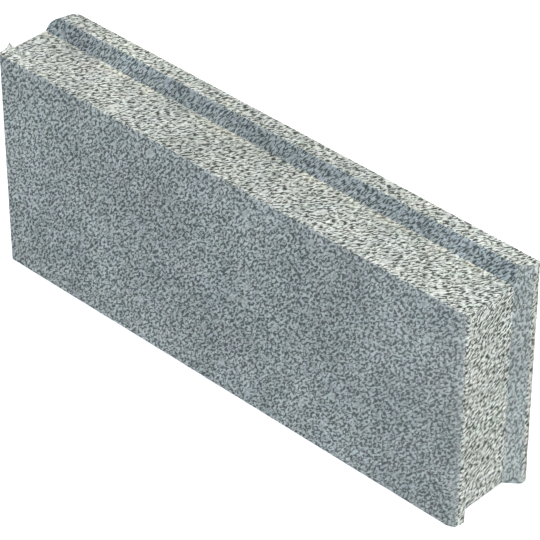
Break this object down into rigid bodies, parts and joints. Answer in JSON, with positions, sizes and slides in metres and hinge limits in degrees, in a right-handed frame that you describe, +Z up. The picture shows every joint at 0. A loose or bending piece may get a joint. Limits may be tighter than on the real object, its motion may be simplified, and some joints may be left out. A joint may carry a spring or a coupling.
{
  "type": "concrete wall block",
  "caption": "Solid concrete wall block with an open grainy surface and rebated edges: tongues at the back and lips at the front that lap over the neighbouring blocks.",
  "frame": {"origin": "under the middle of the whole block, on the plane of its back face", "axes": "+X along the block to the end with the tongue, +Y up the wall it is laid in, to the bed tongue, +Z up, out through the front face"},
  "size_m": [0.6176, 0.27, 0.08],
  "materials": {
    "concrete": "matt open-textured concrete, light rounded grains with dark pores between them"
  },
  "bodies": {
    "root": {"concrete_block": "concrete"}
  },
  "joints": []
}
